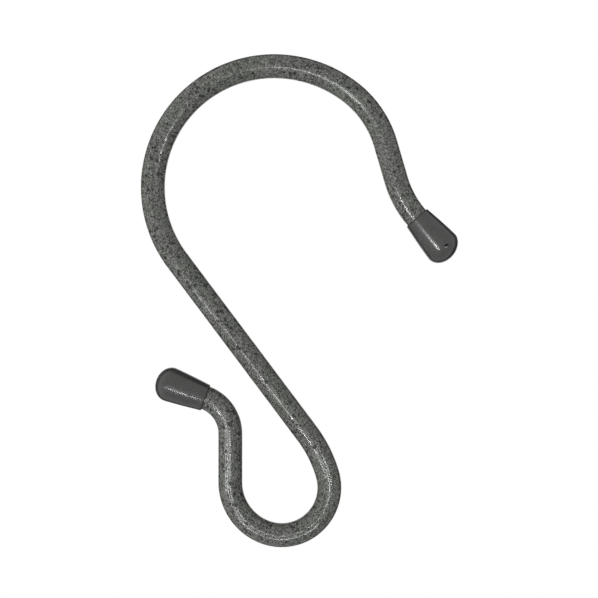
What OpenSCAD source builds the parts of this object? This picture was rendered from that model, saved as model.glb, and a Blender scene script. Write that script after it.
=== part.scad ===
// S hook of bent round rod, with a slip-on cap on each end.
// The hook lies in the XZ plane: +Z is up, and +X points to the open side of the upper loop.
// The origin is the inside of the upper loop's crown, where the hook hangs.
//
// A turn is set in degrees. Each choice is the slope of a whole-number triangle, such as
// 4 in 3 or 24 in 7, so its sine and cosine are short decimals and the stretches meet exactly.

/* [Rod] */
// Diameter of the rod over its coat
rod_d = 6.2; // [4:0.1:8]

/* [Upper loop] */
// Inside radius of the loop, from its crown back to the shank
loop_r = 28.2; // [20:0.1:40]
// Turn of the loop, from its crown back to the shank
loop_turn = 126.8699; // [122.5204, 126.8699, 131.2194]
// Inside radius of the flatter bend, from the crown forward
crown_r = 29.3; // [20:0.1:40]
// Turn of the flatter bend
crown_turn = 36.8699; // [32.5204, 36.8699, 41.2194]
// Inside radius of the tighter bend, from the flatter one down to the arm
arm_r = 22.9; // [12:0.1:30]
// Turn of the tighter bend
arm_turn = 36.8699; // [32.5204, 36.8699, 41.2194]
// Length of the straight arm
arm_length = 9.6; // [4:0.1:30]
// Inside radius of the first, slight part of the outward kick at the upper mouth
upper_ease_r = 25.9; // [10:0.1:40]
// Turn of the slight part
upper_ease_turn = 4.3495; // [4.3495, 16.2602, 20.6097]
// Inside radius of the rest of the upper kick
upper_kick_r = 22.5; // [6:0.1:40]
// Turn of the rest of the kick
upper_kick_turn = 20.6097; // [16.2602, 20.6097, 32.5204]
// Bare straight rod between the upper kick and its cap
upper_stub = 0; // [0:0.1:5]

/* [Shank] */
// Length of the straight shank between the loops
shank_length = 56; // [40:0.1:90]

/* [Lower loop] */
// Inside radius of the first, open bend, from the shank
entry_r = 29.6; // [12:0.1:40]
// Turn of the first bend
entry_turn = 20.6097; // [16.2602, 20.6097, 32.5204]
// Inside radius of the bowl, where the load hangs
bowl_r = 9.2; // [7:0.1:14]
// Turn of the bowl
bowl_turn = 126.8699; // [122.5204, 126.8699, 131.2194]
// Inside radius of the last bend, from the bowl up to the side
side_r = 10.7; // [8:0.1:16]
// Turn of the last bend
side_turn = 69.3903; // [57.4796, 69.3903, 73.7398]
// Length of the straight side
side_length = 12.5; // [8:0.1:18]
// Inside radius of the outward kick at the lower mouth
lower_kick_r = 6.8; // [5:0.1:12]
// Turn of the lower kick
lower_kick_turn = 69.3903; // [57.4796, 69.3903, 73.7398]
// Bare straight rod between the lower kick and its cap
lower_stub = 0; // [0:0.1:5]

/* [End caps] */
// Length of rod that each cap grips
cap_grip = 9.5; // [5:0.1:14]
// Gap all round between the rod and the cap's bore
cap_clearance = 0.05; // [0:0.01:0.3]
// Wall of the cap at its mouth
cap_mouth_wall = 0.35; // [0.2:0.05:1.5]
// Wall of the cap at its widest, near the end
cap_wide_wall = 1.4; // [0.5:0.05:3]
// Thickness of the cap's end, from the bore's floor to the tip
cap_end = 4; // [2.5:0.1:6]
// Height of the domed part of the end
cap_dome = 3.7; // [1:0.1:4]

/* [Hidden] */
$fn = 96;

rod_r = rod_d / 2;

// A route is a list of stretches: [length, 0] is straight, [inside radius, turn] is a bend.
// A positive turn bends to the left of the way the route runs.
upper_route = [
    [crown_r, -crown_turn],
    [arm_r, -arm_turn],
    [arm_length, 0],
    [upper_ease_r, upper_ease_turn],
    [upper_kick_r, upper_kick_turn],
    [upper_stub + cap_grip, 0],
];
lower_route = [
    [loop_r, loop_turn],
    [shank_length, 0],
    [entry_r, -entry_turn],
    [bowl_r, -bowl_turn],
    [side_r, -side_turn],
    [side_length, 0],
    [lower_kick_r, lower_kick_turn],
    [lower_stub + cap_grip, 0],
];

// A bend is made this much too long, in degrees, then cut square where the next stretch starts.
bend_excess = 3;
// Width of the block that cuts it: wider than the rod, and longer than the excess
cut_width = rod_d * 2;

cap_bore_r = rod_r + cap_clearance;
cap_mouth_r = cap_bore_r + cap_mouth_wall;
cap_wide_r = cap_bore_r + cap_wide_wall;
cap_length = cap_grip + cap_end;
cap_wide_at = cap_length - cap_dome;
// Steps in each of the two curves of the cap's outline
cap_steps = 10;
// How far the cap's flare eases off, in degrees: near 0 it is a cone, at 90 it ends level
cap_ease = 60;

function is_bend(stretch) = stretch[1] != 0;
function bend_side(stretch) = sign(stretch[1]);
function bend_centre(stretch) = -bend_side(stretch) * (stretch[0] + rod_r);

// Puts its children at the far end of a stretch, with +Y along the way the route runs on.
module past(stretch) {
    if (is_bend(stretch))
        translate([bend_centre(stretch), 0, 0])
            rotate([0, 0, stretch[1]])
                translate([-bend_centre(stretch), 0, 0])
                    children();
    else
        translate([0, stretch[0], 0])
            children();
}

// The rod's round section. It starts at the hook's flat side, so that all its seams line up.
module section() {
    rotate(90)
        circle(r = rod_r);
}

module straight_rod(stretch) {
    rotate([-90, 0, 0])
        rotate(180)
            linear_extrude(stretch[0])
                section();
}

module bent_rod(stretch) {
    difference() {
        translate([bend_centre(stretch), 0, 0])
            mirror([bend_side(stretch) < 0 ? 1 : 0, 0, 0])
                rotate_extrude(angle = abs(stretch[1]) + bend_excess)
                    translate([abs(bend_centre(stretch)), 0])
                        section();
        past(stretch)
            translate([-cut_width / 2, 0, -cut_width / 2])
                cube(cut_width);
    }
}

// The rod along a route, from its step-th stretch to its end.
module rod_along(route, step = 0) {
    if (step < len(route)) {
        if (is_bend(route[step]))
            bent_rod(route[step]);
        else
            straight_rod(route[step]);
        past(route[step])
            rod_along(route, step + 1);
    }
}

// Puts its children at the route's end, past every stretch from the step-th on.
module at_end(route, step = 0) {
    if (step < len(route))
        past(route[step])
            at_end(route, step + 1)
                children();
    else
        children();
}

// Both routes start at the middle of the rod at the crown, the upper one to the right.
module from_crown(side) {
    translate([0, 0, rod_r])
        rotate([90, 0, 0])
            rotate([0, 0, -90 * side])
                children();
}

// The cap's outline, from its widest ring back to its mouth: a cone whose flare eases off a little.
function cap_flare() = [
    for (i = [cap_steps:-1:0])
        let (along = i / cap_steps, flare = sin(cap_ease * along) / sin(cap_ease))
        [cap_mouth_r + (cap_wide_r - cap_mouth_r) * flare, cap_wide_at * along]
];

// The cap's outline, from the tip of its dome to its widest ring.
function cap_dome_arc() = [
    for (i = [0:cap_steps - 1])
        let (angle = 90 * i / cap_steps)
        [cap_wide_r * sin(angle), cap_wide_at + cap_dome * cos(angle)]
];

// A cap with its mouth at the origin and its tip towards +Y.
module end_cap() {
    rotate([-90, 0, 0])
        rotate_extrude()
            polygon(concat(
                cap_dome_arc(),
                cap_flare(),
                [[cap_bore_r, 0], [cap_bore_r, cap_grip], [0, cap_grip]]
            ));
}

module hook_rod() {
    color([0.4, 0.4, 0.38]) {
        from_crown(1)
            rod_along(upper_route);
        from_crown(-1)
            rod_along(lower_route);
    }
}

module upper_end_cap() {
    color([0.3, 0.3, 0.3])
        from_crown(1)
            at_end(upper_route)
                translate([0, -cap_grip, 0])
                    end_cap();
}

module lower_end_cap() {
    color([0.3, 0.3, 0.3])
        from_crown(-1)
            at_end(lower_route)
                translate([0, -cap_grip, 0])
                    end_cap();
}

hook_rod();
upper_end_cap();
lower_end_cap();
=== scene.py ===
import math
import random

import bpy
import numpy as np
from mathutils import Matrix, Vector, noise


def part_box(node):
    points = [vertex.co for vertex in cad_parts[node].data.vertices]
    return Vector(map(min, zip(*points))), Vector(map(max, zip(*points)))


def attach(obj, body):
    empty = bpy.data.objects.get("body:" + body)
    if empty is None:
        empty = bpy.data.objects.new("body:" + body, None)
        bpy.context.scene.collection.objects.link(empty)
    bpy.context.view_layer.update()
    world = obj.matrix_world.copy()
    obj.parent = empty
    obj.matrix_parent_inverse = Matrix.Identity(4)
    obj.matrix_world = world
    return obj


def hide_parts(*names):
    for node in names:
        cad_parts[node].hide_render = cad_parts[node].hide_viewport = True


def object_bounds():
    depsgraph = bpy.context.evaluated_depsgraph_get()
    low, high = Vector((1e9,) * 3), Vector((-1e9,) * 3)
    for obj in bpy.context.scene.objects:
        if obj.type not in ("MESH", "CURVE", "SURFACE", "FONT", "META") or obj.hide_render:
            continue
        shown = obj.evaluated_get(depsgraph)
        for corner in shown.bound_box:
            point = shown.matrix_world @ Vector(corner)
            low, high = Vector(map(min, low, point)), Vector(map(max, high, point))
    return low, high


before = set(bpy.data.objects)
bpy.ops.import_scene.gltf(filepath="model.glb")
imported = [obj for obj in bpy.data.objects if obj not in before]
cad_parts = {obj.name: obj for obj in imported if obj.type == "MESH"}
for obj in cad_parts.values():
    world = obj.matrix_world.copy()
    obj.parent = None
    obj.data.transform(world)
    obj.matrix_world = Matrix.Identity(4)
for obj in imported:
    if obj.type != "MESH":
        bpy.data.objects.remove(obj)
cad_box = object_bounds()
scene = bpy.context.scene

MM = 0.001

# The hook, in millimetres and degrees, as the part's source has it.
# A bend is (inside radius, turn) and a straight stretch is (length, 0).
UPPER_ROUTE = [(29.3, -36.8699), (22.9, -36.8699), (9.6, 0), (25.9, 4.3495), (22.5, 20.6097)]
LOWER_ROUTE = [(28.2, 126.8699), (56, 0), (29.6, -20.6097), (9.2, -126.8699),
               (10.7, -69.3903), (12.5, 0), (6.8, 69.3903)]
CAP_GRIP = 9.5
CAP_CLEARANCE = 0.05
CAP_MOUTH_WALL = 0.35
CAP_WIDE_WALL = 1.4
CAP_END = 4.0
CAP_DOME = 3.7
CAP_EASE = math.radians(60)
# Where a cap is widest, from its mouth
CAP_WIDE_AT = CAP_GRIP + CAP_END - CAP_DOME

# The rod's radius over its coat
rod_low, rod_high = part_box("hook_rod")
ROD_R = (rod_high.y - rod_low.y) / 2 / MM

# The mesh: sectors round the rod or a cap, and the step along the rod, in millimetres
ROD_SECTORS = 84
ROD_STEP = 0.26
CAP_SECTORS = 192
DOME_STEPS, SIDE_STEPS, LIP_STEPS, BORE_STEPS = 56, 70, 8, 10
# The round on the edge of a cap's mouth
CAP_LIP = 0.18

# The coat flowed as it cured: broad swells, a hammered skin and fine orange peel.
# Each is (depth, size, shift of its noise), in millimetres.
COAT_RELIEF = ((0.007, 3.6, 0), (0.004, 1.2, 40), (0.002, 0.6, 80))
# The relief fades out over this length of bare rod, up to each cap's mouth.
RELIEF_FADE = 0.5
# Pits in the coat: how many, how deep, their least radius and what the widest has more
PITS = 800
PIT_DEPTH = 0.07
PIT_R = 0.18
PIT_R_SPREAD = 0.32
# The share of tried pits that is kept where they are sparse, and what crowding adds to it
PIT_SPARSE, PIT_CROWD = 0.25, 1.5

# A cap's faint waves, as a dipped mould leaves them: each is (depth, size)
CAP_WAVES = ((0.006, 6.0), (0.0001, 1.2))
# The nick in the upper cap: how deep it is, and how far its burr stands proud
NICK_DEPTH = 0.17
BURR_HEIGHT = 0.05
# A pit, the nick and its burr are full at their middle and gone this many radii from it.
SOFT_EDGE = 1.3

# Painted shade at the seam reaches this far from a cap's mouth, along the rod and along the cap.
ROD_PAINTED_SEAM_SHADE = 0.35
CAP_PAINTED_SEAM_SHADE = 0.3

# The ways out of the hook's plane
BACK = np.array([0.0, 1.0, 0.0])
FRONT = -BACK


# ---------------------------------------------------------------- the rod's route

def turned(vector, angle):
    """A flat vector turned by an angle."""
    c, s = math.cos(angle), math.sin(angle)
    return np.array([[c, -s], [s, c]]) @ vector


def walk(side, route, step):
    """Points and headings along a route in the XZ plane, from the crown out, and where it ends."""
    point = np.array([0.0, ROD_R])
    heading = np.array([float(side), 0.0])
    rows = []
    for size, turn in route:
        if turn == 0:
            count = max(1, round(size / step))
            for i in range(count):
                rows.append((*(point + heading * size * i / count), *heading))
            point = point + heading * size
            continue
        radius = size + ROD_R
        centre = point + math.copysign(radius, turn) * np.array([-heading[1], heading[0]])
        arm = point - centre
        angle = math.radians(turn)
        count = max(1, round(radius * abs(angle) / step))
        for i in range(count):
            part = angle * i / count
            rows.append((*(centre + turned(arm, part)), *turned(heading, part)))
        point = centre + turned(arm, angle)
        heading = turned(heading, angle)
    return rows, point, heading


def rod_line(step):
    """The rod's whole centreline from inside the upper cap to inside the lower one."""
    upper, top_end, top_heading = walk(1, UPPER_ROUTE + [(CAP_GRIP, 0)], step)
    lower, low_end, low_heading = walk(-1, LOWER_ROUTE + [(CAP_GRIP, 0)], step)
    upper.append((*top_end, *top_heading))
    lower.append((*low_end, *low_heading))
    back = [(x, z, -hx, -hz) for x, z, hx, hz in reversed(upper[1:])]
    return np.array(back + lower)


# ---------------------------------------------------------------- meshes

def new_mesh(name, points, faces):
    """A smooth mesh object from points in millimetres."""
    mesh = bpy.data.meshes.new(name)
    mesh.from_pydata([tuple(p) for p in np.asarray(points) * MM], [], faces)
    mesh.update()
    mesh.polygons.foreach_set("use_smooth", [True] * len(mesh.polygons))
    piece = bpy.data.objects.new(name, mesh)
    scene.collection.objects.link(piece)
    return piece


def grain(points, size):
    """Smooth noise of about that size in millimetres, from -1 to 1, at each point."""
    return np.array([noise.noise(Vector(p / size)) for p in points])


def store(piece, name, values):
    """A number for each point of the mesh, which its material reads by name."""
    layer = piece.data.attributes.new(name, "FLOAT", "POINT")
    layer.data.foreach_set("value", np.asarray(values, np.float32))


def rod_faces(rings):
    """Quads between the rod's rings, and one face on each end."""
    faces = []
    for i in range(rings - 1):
        a, b = i * ROD_SECTORS, (i + 1) * ROD_SECTORS
        for j in range(ROD_SECTORS):
            k = (j + 1) % ROD_SECTORS
            faces.append((a + j, a + k, b + k, b + j))
    last = (rings - 1) * ROD_SECTORS
    faces.append(tuple(range(ROD_SECTORS - 1, -1, -1)))
    faces.append(tuple(range(last, last + ROD_SECTORS)))
    return faces


def rod_rings(line):
    """For each point of the rod's skin, its place on the centreline and its way out from there."""
    flat = np.zeros(len(line))
    centre = np.stack([line[:, 0], flat, line[:, 1]], 1)
    left = np.stack([-line[:, 3], flat, line[:, 2]], 1)
    angles = np.arange(ROD_SECTORS) * 2 * math.pi / ROD_SECTORS
    in_plane = np.cos(angles)[None, :, None] * left[:, None, :]
    out_of_plane = np.sin(angles)[None, :, None] * BACK
    return np.repeat(centre, ROD_SECTORS, 0), (in_plane + out_of_plane).reshape(-1, 3)


def scatter_pits(skin, rings):
    """Each pit's ring, sector, radius and shift, denser in some places than in others."""
    luck = random.Random(11)
    made = 0
    while made < PITS:
        i = luck.randrange(4, rings - 4)
        j = luck.randrange(ROD_SECTORS)
        spot = skin[i * ROD_SECTORS + j]
        crowd = noise.noise(Vector(spot / 9.0)) + 0.6 * noise.noise(Vector(spot / 3.0))
        if luck.random() > PIT_SPARSE + PIT_CROWD * max(crowd, 0):
            continue
        made += 1
        radius = PIT_R + PIT_R_SPREAD * luck.random() ** 2
        shift = luck.random() - 0.5
        yield i, j, radius, shift


def pit_depths(skin, along):
    """How deep each point of the rod lies in a pit, from 0 to 1."""
    rings = len(along)
    depths = np.zeros((rings, ROD_SECTORS))
    sector = 2 * math.pi * ROD_R / ROD_SECTORS
    for i, j, radius, shift in scatter_pits(skin, rings):
        reach = int(radius / ROD_STEP) + 2
        for di in range(-reach, reach + 1):
            ii = min(max(i + di, 0), rings - 1)
            for dj in range(-reach, reach + 1):
                jj = (j + dj) % ROD_SECTORS
                far = math.hypot(along[ii] - along[i], (dj + shift) * sector) / radius
                depths[ii, jj] = max(depths[ii, jj], min(1, SOFT_EDGE - far))
    return depths.reshape(-1)


def make_rod():
    """The coated rod: it has its relief and its pits where it is bare, and is plain in the caps."""
    line = rod_line(ROD_STEP)
    core, out = rod_rings(line)
    skin = core + out * ROD_R
    steps = np.hypot(*np.diff(line[:, :2], axis=0).T)
    along = np.concatenate([[0], np.cumsum(steps)])
    place = np.repeat(along, ROD_SECTORS)
    # How far each point is from the nearer cap's mouth, and under 0 inside a cap
    bare = np.minimum(place - CAP_GRIP, along[-1] - CAP_GRIP - place)

    pit = pit_depths(skin, along)
    relief = sum(depth * grain(skin + shift, size) for depth, size, shift in COAT_RELIEF)
    relief = (relief - PIT_DEPTH * pit) * np.clip(bare / RELIEF_FADE, 0, 1)
    points = core + out * (ROD_R + relief)[:, None]

    piece = new_mesh("coated_rod", points, rod_faces(len(line)))
    store(piece, "pit", pit)
    # Painted shade at the seam: darkest at each cap's mouth, fading out along the rod.
    store(piece, "painted_seam_shade", np.clip(1 - bare / ROD_PAINTED_SEAM_SHADE, 0, 1))
    return piece


def cap_profile(swell):
    """A cap's outline in (along, radius): from the tip over the dome to the lip and the bore."""
    bore = ROD_R + CAP_CLEARANCE
    mouth = bore + CAP_MOUTH_WALL
    wide = bore + CAP_WIDE_WALL + swell
    rows = []
    for i in range(1, DOME_STEPS + 1):
        angle = math.pi / 2 * i / DOME_STEPS
        rows.append((CAP_WIDE_AT + CAP_DOME * math.cos(angle), wide * math.sin(angle)))
    for i in range(1, SIDE_STEPS + 1):
        x = CAP_WIDE_AT + (CAP_LIP - CAP_WIDE_AT) * i / SIDE_STEPS
        flare = math.sin(CAP_EASE * x / CAP_WIDE_AT) / math.sin(CAP_EASE)
        rows.append((x, mouth + (wide - mouth) * flare))
    edge = rows[-1][1]
    for i in range(1, LIP_STEPS + 1):
        angle = math.pi / 2 * i / LIP_STEPS
        rows.append((CAP_LIP * (1 - math.sin(angle)), edge - CAP_LIP * (1 - math.cos(angle))))
    for i in range(1, BORE_STEPS + 1):
        rows.append((CAP_GRIP * i / BORE_STEPS, bore))
    return rows


def cap_faces(rings):
    """Quads between a cap's rings, a fan round its tip and a fan round its bore's floor."""
    faces = []
    for i in range(rings - 1):
        a, b = i * CAP_SECTORS, (i + 1) * CAP_SECTORS
        for j in range(CAP_SECTORS):
            k = (j + 1) % CAP_SECTORS
            faces.append((a + j, b + j, b + k, a + k))
    last = (rings - 1) * CAP_SECTORS
    tip = rings * CAP_SECTORS
    floor = tip + 1
    for j in range(CAP_SECTORS):
        k = (j + 1) % CAP_SECTORS
        faces.append((tip, j, k))
        faces.append((floor, last + k, last + j))
    return faces


def nick_marks(points, base, axis, left, seed, nick):
    """How deep each point lies in the nick and how high on the burr beside it, each from 0 to 1."""
    along, aside, long, short, turn = nick
    flat = points - (base + axis * along + left * aside)
    across, down = flat @ left, flat @ axis
    u = across * math.cos(turn) + down * math.sin(turn)
    v = -across * math.sin(turn) + down * math.cos(turn)
    ragged = 0.25 * grain(points + seed, 0.35)
    to_nick = np.hypot(u / long, v / short) + ragged
    # The burr lies on the tip's side of the nick, and is shorter and narrower than it.
    to_burr = np.hypot((u + 0.35 * long) / (0.8 * long), (v - 1.5 * short) / (0.5 * short)) + ragged
    facing = (points - base) @ FRONT > 0
    return [np.where(facing, np.clip(SOFT_EDGE - far, 0, 1), 0) for far in (to_nick, to_burr)]


def make_cap(name, side, route, seed, swell, lean, nick):
    """A cap at the end of a route, turned from its outline, with faint waves and maybe a nick."""
    _, mouth, heading = walk(side, route, 1.0)
    base = np.array([mouth[0], 0.0, mouth[1]])
    axis = np.array([heading[0], 0.0, heading[1]])
    left = np.array([-heading[1], 0.0, heading[0]])

    rows = cap_profile(swell)
    angles = np.arange(CAP_SECTORS) * 2 * math.pi / CAP_SECTORS
    spokes = np.cos(angles)[:, None] * left + np.sin(angles)[:, None] * FRONT
    out = np.tile(spokes, (len(rows), 1))
    x = np.repeat([row[0] for row in rows], CAP_SECTORS)
    radius = np.repeat([row[1] for row in rows], CAP_SECTORS)
    points = base + np.outer(x, axis) + out * radius[:, None]

    outside = np.arange(len(points)) < (DOME_STEPS + SIDE_STEPS) * CAP_SECTORS
    waves = sum(depth * grain(points + seed, size) for depth, size in CAP_WAVES)
    points = points + out * (waves * outside)[:, None]
    # The dome sits a little to one side, as a pushed-on cap's does.
    points = points + np.outer(lean * np.clip((x - CAP_WIDE_AT) / CAP_DOME, 0, 1) * outside, left)

    dent = np.zeros(len(points))
    burr = np.zeros(len(points))
    if nick:
        dent, burr = nick_marks(points, base, axis, left, seed, nick)
        points = points + out * (BURR_HEIGHT * burr - NICK_DEPTH * dent)[:, None]

    tip = base + axis * (CAP_GRIP + CAP_END) + left * lean
    floor = base + axis * CAP_GRIP
    piece = new_mesh(name, np.vstack([points, tip, floor]), cap_faces(len(rows)))
    # The tip and the bore's floor get no painted seam shade.
    store(piece, "painted_seam_shade", np.append(np.clip(1 - x / CAP_PAINTED_SEAM_SHADE, 0, 1), [0, 0]))
    store(piece, "nick", np.append(dent, [0, 0]))
    store(piece, "burr", np.append(burr, [0, 0]))
    return piece


# ---------------------------------------------------------------- materials

class Nodes:
    """Short calls for building one material's node tree."""

    def __init__(self, name):
        self.material = bpy.data.materials.new(name)
        self.material.use_nodes = True
        self.tree = self.material.node_tree
        self.tree.nodes.clear()
        self.shader = self.add("ShaderNodeBsdfPrincipled")
        self.out = self.add("ShaderNodeOutputMaterial")
        self.join(self.shader.outputs[0], self.out.inputs["Surface"])
        self.place = self.add("ShaderNodeTexCoord").outputs["Object"]

    def add(self, kind, **values):
        """A new node with those settings."""
        node = self.tree.nodes.new(kind)
        for key, value in values.items():
            setattr(node, key, value)
        return node

    def join(self, a, b):
        self.tree.links.new(a, b)

    def put(self, socket, value):
        """Gives a socket its value: a plain one, or another node's."""
        if hasattr(value, "is_linked"):
            self.join(value, socket)
        else:
            socket.default_value = value

    def noise(self, size_mm, detail=2.0, rough=0.5):
        """Smooth noise of about that size, in millimetres."""
        node = self.add("ShaderNodeTexNoise")
        self.join(self.place, node.inputs["Vector"])
        node.inputs["Scale"].default_value = 1 / (size_mm * MM)
        node.inputs["Detail"].default_value = detail
        node.inputs["Roughness"].default_value = rough
        return node.outputs["Fac"]

    def cells(self, size_mm, ragged=0.0):
        """Cells of about that size; ragged moves their edges by that much, in millimetres."""
        node = self.add("ShaderNodeTexVoronoi")
        place = self.place
        if ragged:
            wobble = self.add("ShaderNodeTexNoise")
            self.join(self.place, wobble.inputs["Vector"])
            wobble.inputs["Scale"].default_value = 1 / (0.5 * size_mm * MM)
            moved = self.add("ShaderNodeVectorMath", operation="MULTIPLY_ADD")
            self.join(wobble.outputs["Color"], moved.inputs[0])
            moved.inputs[1].default_value = (ragged * MM * 2,) * 3
            self.join(self.place, moved.inputs[2])
            place = moved.outputs[0]
        self.join(place, node.inputs["Vector"])
        node.inputs["Scale"].default_value = 1 / (size_mm * MM)
        return node

    def ramp(self, value, low, high, start=0.0, end=1.0, smooth=True):
        """Goes from start to end as the value goes from low to high."""
        node = self.add("ShaderNodeMapRange", clamp=True)
        node.interpolation_type = "SMOOTHSTEP" if smooth else "LINEAR"
        self.put(node.inputs["Value"], value)
        node.inputs["From Min"].default_value = low
        node.inputs["From Max"].default_value = high
        node.inputs["To Min"].default_value = start
        node.inputs["To Max"].default_value = end
        return node.outputs["Result"]

    def math(self, kind, a, b):
        node = self.add("ShaderNodeMath", operation=kind)
        self.put(node.inputs[0], a)
        self.put(node.inputs[1], b)
        return node.outputs[0]

    def mix(self, factor, a, b):
        node = self.add("ShaderNodeMix", data_type="RGBA")
        self.put(node.inputs["Factor"], factor)
        self.put(node.inputs["A"], a)
        self.put(node.inputs["B"], b)
        return node.outputs["Result"]

    def layer(self, name):
        """The number that store() gave each point of the mesh under that name."""
        return self.add("ShaderNodeAttribute", attribute_name=name).outputs["Fac"]

    def bump(self, height, depth_mm, below=None):
        """A bump of that depth, in millimetres, on top of another bump if one is given."""
        node = self.add("ShaderNodeBump")
        node.inputs["Strength"].default_value = 1.0
        node.inputs["Distance"].default_value = depth_mm * MM
        self.put(node.inputs["Height"], height)
        if below is not None:
            self.join(below, node.inputs["Normal"])
        return node.outputs["Normal"]


def grain_colour(n, grains):
    """The coat's salt and pepper: grains from dark to light, soft clouds and some pale grains,
    partly painted glints.
    """
    tint = n.ramp(n.noise(8.0, 2.0), 0.35, 0.65)
    dark = n.mix(tint, (0.020, 0.022, 0.018, 1), (0.022, 0.022, 0.019, 1))
    light = n.mix(tint, (0.206, 0.220, 0.192, 1), (0.220, 0.219, 0.205, 1))
    shade = n.math("MULTIPLY", n.ramp(grains.outputs["Color"], 0.25, 0.75, smooth=False), 0.91)
    cloud = n.math("MULTIPLY", n.ramp(n.noise(1.3, 3.0, 0.7), 0.3, 0.7), 0.09)
    colour = n.mix(n.math("ADD", shade, cloud), dark, light)
    # Pale flecks of the coat, which partly stand in as painted glints.
    pale = n.ramp(n.cells(0.33).outputs["Color"], 0.76, 0.86, 0.0, 0.5)
    return n.mix(pale, colour, (0.40, 0.41, 0.39, 1))


def black_grains(n, colour, size):
    """Adds black grains of uneven size, in cells of that size, crowded in patches."""
    dots = n.cells(size, ragged=0.12)
    crowd = n.ramp(n.noise(8 * size, 2.0), 0.42, 0.66, 0.06, 0.34)
    luck = n.math("ADD", dots.outputs["Color"], crowd)
    reach = n.ramp(luck, 1.0, 1.10, 0.0, 0.52, smooth=False)
    dot = n.ramp(n.math("SUBTRACT", dots.outputs["Distance"], reach), 0.0, -0.06)
    return n.mix(n.math("MULTIPLY", dot, 0.95), colour, (0.006, 0.006, 0.006, 1))


def coat_material():
    """Grey speckled powder coat, semi-gloss, with dark pits and painted shade next to the caps'
    mouths.
    """
    n = Nodes("speckled_coat")
    grains = n.cells(0.27)
    colour = grain_colour(n, grains)
    for size in (0.50, 0.80):
        colour = black_grains(n, colour, size)
    pit = n.ramp(n.layer("pit"), 0.12, 0.5)
    colour = n.mix(n.math("MULTIPLY", pit, 0.9), colour, (0.008, 0.008, 0.009, 1))
    # Painted shade: the coat is darkened next to each cap's mouth, where the seam lies in shade.
    painted_seam_shade = n.ramp(n.layer("painted_seam_shade"), 0.1, 1.0)
    colour = n.mix(n.math("MULTIPLY", painted_seam_shade, 0.8), colour, (0.012, 0.012, 0.012, 1))
    n.put(n.shader.inputs["Base Color"], colour)

    patchy = n.ramp(n.noise(1.1, 2.0, 0.6), 0.36, 0.62, 0.12, 0.23)
    by_grain = n.ramp(grains.outputs["Color"], 0.1, 0.9, 0.0, 0.08)
    by_pit_and_painted_shade = n.math("MULTIPLY", n.math("MAXIMUM", pit, painted_seam_shade), 0.3)
    n.put(n.shader.inputs["Roughness"], n.math("ADD", n.math("ADD", patchy, by_grain), by_pit_and_painted_shade))
    n.shader.inputs["Specular IOR Level"].default_value = 0.35

    fine = n.bump(n.noise(0.30, 1.0, 0.5), 0.003)
    hammered = n.bump(n.cells(0.46).outputs["Distance"], 0.008, fine)
    n.put(n.shader.inputs["Normal"], hammered)
    return n.material


def cap_material():
    """Dark grey moulded vinyl: smooth and glossy, with the faintest haze and handling dust, painted
    shade at its mouth and in the nick, and a painted highlight on the burr.
    """
    n = Nodes("moulded_cap")
    haze = n.ramp(n.noise(2.6, 3.0), 0.3, 0.7)
    colour = n.mix(haze, (0.042, 0.043, 0.041, 1), (0.052, 0.053, 0.050, 1))
    fine = n.ramp(n.cells(0.36).outputs["Color"], 0.2, 0.8, 0.0, 0.45, smooth=False)
    colour = n.mix(fine, colour, (0.085, 0.086, 0.083, 1))
    dust = n.ramp(n.cells(1.1, ragged=0.2).outputs["Distance"], 0.10, 0.04)
    colour = n.mix(n.math("MULTIPLY", dust, 0.3), colour, (0.20, 0.20, 0.20, 1))
    # Painted highlight: the burr is coloured pale, as if it caught the light.
    burr = n.ramp(n.layer("burr"), 0.1, 0.7)
    colour = n.mix(n.math("MULTIPLY", burr, 0.8), colour, (0.36, 0.36, 0.35, 1))
    # Painted shade: the nick is coloured near black, as if it lay in shade.
    nick = n.ramp(n.layer("nick"), 0.05, 0.3)
    # Painted shade at the cap's mouth, where it meets the rod.
    painted_seam_shade = n.ramp(n.layer("painted_seam_shade"), 0.2, 1.0)
    dark = n.math("MAXIMUM", nick, n.math("MULTIPLY", painted_seam_shade, 0.85))
    colour = n.mix(dark, colour, (0.008, 0.008, 0.008, 1))
    n.put(n.shader.inputs["Base Color"], colour)

    rough = n.ramp(n.noise(4.0, 2.0), 0.3, 0.7, 0.22, 0.26)
    n.put(n.shader.inputs["Roughness"], n.math("ADD", rough, n.math("MULTIPLY", dark, 0.7)))
    n.shader.inputs["Specular IOR Level"].default_value = 0.5
    n.put(n.shader.inputs["Normal"], n.bump(n.noise(0.8, 1.0), 0.0004))
    return n.material


# ---------------------------------------------------------------- studio

# The camera's distance, in metres, and how much of the view's height the hook takes
CAMERA_DISTANCE = 0.44
SHARE_OF_HEIGHT = 0.824
# The view's middle from the hook's, across and up, and the sensor's width, in millimetres
VIEW_SHIFT = (-0.14, 0.43)
SENSOR = 36.0

# The soft light from all round
WORLD_LIGHT = 0.50
# The window's added light, the way to it, and how narrow it is
WINDOW_LIGHT = 2.0
WINDOW_WAY = (-0.79, -0.49, -0.36)
WINDOW_FOCUS = 4.0

# The floor's drop below the hook and its radius, in metres
FLOOR_DROP = 0.45
FLOOR_R = 0.9
FLOOR_RINGS, FLOOR_SECTORS = 24, 96
# How white the floor looks under the hook, and the distances from the hook's crown, in metres,
# over which it fades from that to full white
FLOOR_WHITE = 0.55
FLOOR_FADE_FROM, FLOOR_FADE_TO = 0.55, 0.9

# The flag's distance behind the hook and its radii, in metres
FLAG_BEHIND = 0.35
FLAG_INNER_R = 0.21
FLAG_OUTER_R = 1.1
FLAG_SECTORS = 96

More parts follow.
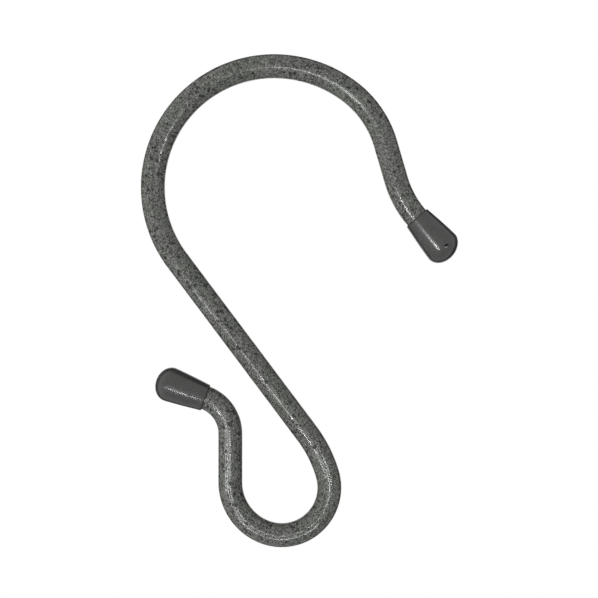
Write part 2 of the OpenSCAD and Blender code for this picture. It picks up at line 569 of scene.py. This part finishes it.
# Each lamp's name, place, aim, width and height, shine and reach. A lamp is named after the
# stretch of the hook that it aims at, where it draws its line of the highlight.
LAMPS = (
    ("right_arc_lamp", (-160, -382, -163), (20, 0, -6), (40, 40), 1.0, 54),
    ("crown_lamp", (-8, -121, -36), (10, 0, 0), (16, 16), 0.50, 34),
    ("left_arc_lamp", (99, -212, -56), (-28, 0, -16), (24, 24), 0.60, 42),
    ("arm_lamp", (-55, -169, -90), (37, 0, -35), (16, 16), 0.98, 24),
    ("shank_top_lamp", (-92, -98, -107), (-17, 0, -58), (16, 16), 0.34, 38),
    ("shank_lamp", (-235, -630, -288), (0, 0, -81), (60, 60), 0.56, 60),
    ("turn_lamp", (-61, -230, -166), (9, 0, -96), (22, 22), 1.0, 14),
    ("corner_lamp_1", (20, -152, -122), (13, 0, -106), (16, 16), 0.68, 17),
    ("corner_lamp_2", (66, -143, -102), (13, 0, -104), (18, 18), 0.95, 17),
    ("bowl_lamp", (0, -120, -204), (1, 0, -117), (90, 22), 2.4, 24),
    ("bowl_left_lamp", (-62, -119, -190), (-9, 0, -113), (50, 20), 3.0, 16),
    ("bowl_right_lamp", (55, -122, -198), (10, 0, -114), (50, 20), 2.4, 16),
    ("side_lamp_1", (-17, -154, -118), (-10, 0, -103), (26, 32), 1.3, 20),
    ("side_lamp_2", (-70, -138, -118), (-10, 0, -103), (26, 32), 1.3, 20),
    ("side_lamp_3", (-113, -108, -122), (-10, 0, -103), (26, 32), 1.1, 20),
    ("kick_lamp", (-88, -116, -148), (-12, 0, -88), (14, 14), 1.1, 12),
    ("cap_lamp", (-38, -203, -182), (-23, 0, -81), (18, 18), 0.66, 18),
)


def make_camera(middle, height):
    """A camera square on to the hook's plane, as the photo's is."""
    view = height / SHARE_OF_HEIGHT
    data = bpy.data.cameras.new("camera")
    data.sensor_width = SENSOR
    data.lens = SENSOR * CAMERA_DISTANCE / view
    camera = bpy.data.objects.new("camera", data)
    camera.location = middle + Vector((VIEW_SHIFT[0] * MM, -CAMERA_DISTANCE, VIEW_SHIFT[1] * MM))
    camera.rotation_euler = (math.pi / 2, 0, 0)
    scene.collection.objects.link(camera)
    scene.camera = camera


def seen(tree):
    """1 for the rays that show a background: from the camera, and in gloss and glass."""
    path = tree.nodes.new("ShaderNodeLightPath")
    value = path.outputs["Is Camera Ray"]
    for name in ("Is Glossy Ray", "Is Transmission Ray"):
        either = tree.nodes.new("ShaderNodeMath")
        either.operation = "MAXIMUM"
        tree.links.new(value, either.inputs[0])
        tree.links.new(path.outputs[name], either.inputs[1])
        value = either.outputs[0]
    return value


def soft_light(tree):
    """The light all round, stronger from the window's side."""
    way = tree.nodes.new("ShaderNodeTexCoord").outputs["Generated"]
    toward = tree.nodes.new("ShaderNodeVectorMath")
    toward.operation = "DOT_PRODUCT"
    tree.links.new(way, toward.inputs[0])
    toward.inputs[1].default_value = Vector(WINDOW_WAY).normalized()
    value = toward.outputs["Value"]
    steps = (("MAXIMUM", 0.0), ("POWER", WINDOW_FOCUS),
             ("MULTIPLY", WINDOW_LIGHT), ("ADD", WORLD_LIGHT))
    for kind, other in steps:
        step = tree.nodes.new("ShaderNodeMath")
        step.operation = kind
        tree.links.new(value, step.inputs[0])
        step.inputs[1].default_value = other
        value = step.outputs[0]
    return value


def make_world():
    """White where it is seen, and soft light for the rest."""
    world = bpy.data.worlds.new("studio")
    world.use_nodes = True
    tree = world.node_tree
    tree.nodes.clear()
    lit = tree.nodes.new("ShaderNodeBackground")
    tree.links.new(soft_light(tree), lit.inputs["Strength"])
    white = tree.nodes.new("ShaderNodeBackground")
    white.inputs["Strength"].default_value = 1.0
    for background in (lit, white):
        background.inputs["Color"].default_value = (1, 1, 1, 1)
    mix = tree.nodes.new("ShaderNodeMixShader")
    out = tree.nodes.new("ShaderNodeOutputWorld")
    tree.links.new(seen(tree), mix.inputs[0])
    tree.links.new(lit.outputs[0], mix.inputs[1])
    tree.links.new(white.outputs[0], mix.inputs[2])
    tree.links.new(mix.outputs[0], out.inputs["Surface"])
    # The soft light is even enough to be found without aiming rays at it. That leaves them all
    # for the small lamps and makes their highlights cleaner.
    world.cycles.sampling_method = "NONE"
    scene.world = world


def floor_disc(middle, height):
    """The floor's points, in millimetres, and its faces, in rings round its middle."""
    x, y, z = middle.x / MM, middle.y / MM, height / MM
    points = [(x, y, z)]
    faces = []
    for i in range(1, FLOOR_RINGS + 1):
        r = FLOOR_R / MM * i / FLOOR_RINGS
        for j in range(FLOOR_SECTORS):
            angle = 2 * math.pi * j / FLOOR_SECTORS
            points.append((x + r * math.cos(angle), y + r * math.sin(angle), z))
    for j in range(FLOOR_SECTORS):
        k = (j + 1) % FLOOR_SECTORS
        faces.append((0, 1 + j, 1 + k))
        for i in range(FLOOR_RINGS - 1):
            a, b = 1 + i * FLOOR_SECTORS, 1 + (i + 1) * FLOOR_SECTORS
            faces.append((a + j, b + j, b + k, a + k))
    return points, faces


def floor_material():
    """Pale and matt, and mixed with plain white for the rays that show a background."""
    n = Nodes("pale_floor")
    n.shader.inputs["Base Color"].default_value = (0.86, 0.86, 0.86, 1)
    n.shader.inputs["Roughness"].default_value = 0.9
    white = n.add("ShaderNodeEmission")
    white.inputs["Strength"].default_value = 1.0
    away = n.add("ShaderNodeVectorMath", operation="LENGTH")
    n.join(n.place, away.inputs[0])
    fade = n.ramp(away.outputs["Value"], FLOOR_FADE_FROM, FLOOR_FADE_TO, FLOOR_WHITE, 1.0)
    mix = n.add("ShaderNodeMixShader")
    n.join(n.math("MULTIPLY", fade, seen(n.tree)), mix.inputs[0])
    n.join(n.shader.outputs[0], mix.inputs[1])
    n.join(white.outputs[0], mix.inputs[2])
    n.join(mix.outputs[0], n.out.inputs["Surface"])
    return n.material


def make_floor(middle, low):
    """A pale round floor well below the hook, which fades into the white round it."""
    floor = new_mesh("floor", *floor_disc(middle, low - FLOOR_DROP))
    floor.data.materials.append(floor_material())


def make_flag(middle):
    """A dark ring behind the hook, wider than the view: its reflection draws the dark edges."""
    points = []
    for radius in (FLAG_INNER_R, FLAG_OUTER_R):
        for j in range(FLAG_SECTORS):
            angle = 2 * math.pi * j / FLAG_SECTORS
            spoke = Vector((radius * math.cos(angle), FLAG_BEHIND, radius * math.sin(angle)))
            points.append((middle + spoke) / MM)
    faces = []
    for j in range(FLAG_SECTORS):
        k = (j + 1) % FLAG_SECTORS
        faces.append((j, k, FLAG_SECTORS + k, FLAG_SECTORS + j))
    flag = new_mesh("flag", points, faces)
    n = Nodes("dark_felt")
    n.shader.inputs["Base Color"].default_value = (0.02, 0.02, 0.02, 1)
    n.shader.inputs["Roughness"].default_value = 1.0
    n.shader.inputs["Specular IOR Level"].default_value = 0.0
    flag.data.materials.append(n.material)
    flag.visible_camera = False
    flag.visible_diffuse = False
    flag.visible_shadow = False


def make_lamp(name, place, aim, size, shine, reach):
    """A soft box with a honeycomb, which shows in gloss only. Lengths are in millimetres.

    Its shine is the light it gives at its aim, in watts per square metre, and its beam fades
    out at that reach from the aim.
    """
    away = Vector(place) - Vector(aim)
    distance = away.length * MM
    half_beam = math.atan(reach * MM / distance)
    data = bpy.data.lights.new(name, "AREA")
    data.shape = "RECTANGLE"
    data.size, data.size_y = (s * MM for s in size)
    data.spread = 2 * half_beam
    # A honeycomb gathers the lamp's light into its beam, so the lamp needs this much less.
    gathered = half_beam ** 2 / 3
    data.energy = math.pi * distance ** 2 * shine * gathered
    lamp = bpy.data.objects.new(name, data)
    lamp.location = Vector(place) * MM
    lamp.rotation_euler = away.to_track_quat("Z", "Y").to_euler()
    lamp.visible_camera = False
    lamp.visible_diffuse = False
    scene.collection.objects.link(lamp)


# ---------------------------------------------------------------- the whole

low, high = cad_box
middle = (Vector(low) + Vector(high)) / 2
make_camera(middle, high[2] - low[2])
make_world()
make_floor(middle, low[2])
make_flag(middle)
for lamp_row in LAMPS:
    make_lamp(*lamp_row)

coat = coat_material()
vinyl = cap_material()

rod = make_rod()
rod.data.materials.append(coat)
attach(rod, "root")
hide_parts("hook_rod")

# The nick: how far along the cap, how far left of its axis, its half sizes and its turn
NICK = (10.2, 0.75, 0.62, 0.30, math.radians(25))
# Each cap's node, side of the crown, route, noise shift, added radius, lean to its left and nick
for name, side, route, seed, swell, lean, nick in (
    ("upper_end_cap", 1, UPPER_ROUTE, 7.0, 0.12, -0.35, NICK),
    ("lower_end_cap", -1, LOWER_ROUTE, 19.0, -0.08, 0.0, None),
):
    cap = make_cap("moulded_" + name, side, route, seed, swell, lean, nick)
    cap.data.materials.append(vinyl)
    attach(cap, "root")
    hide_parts(name)

scene.view_settings.view_transform = "Standard"
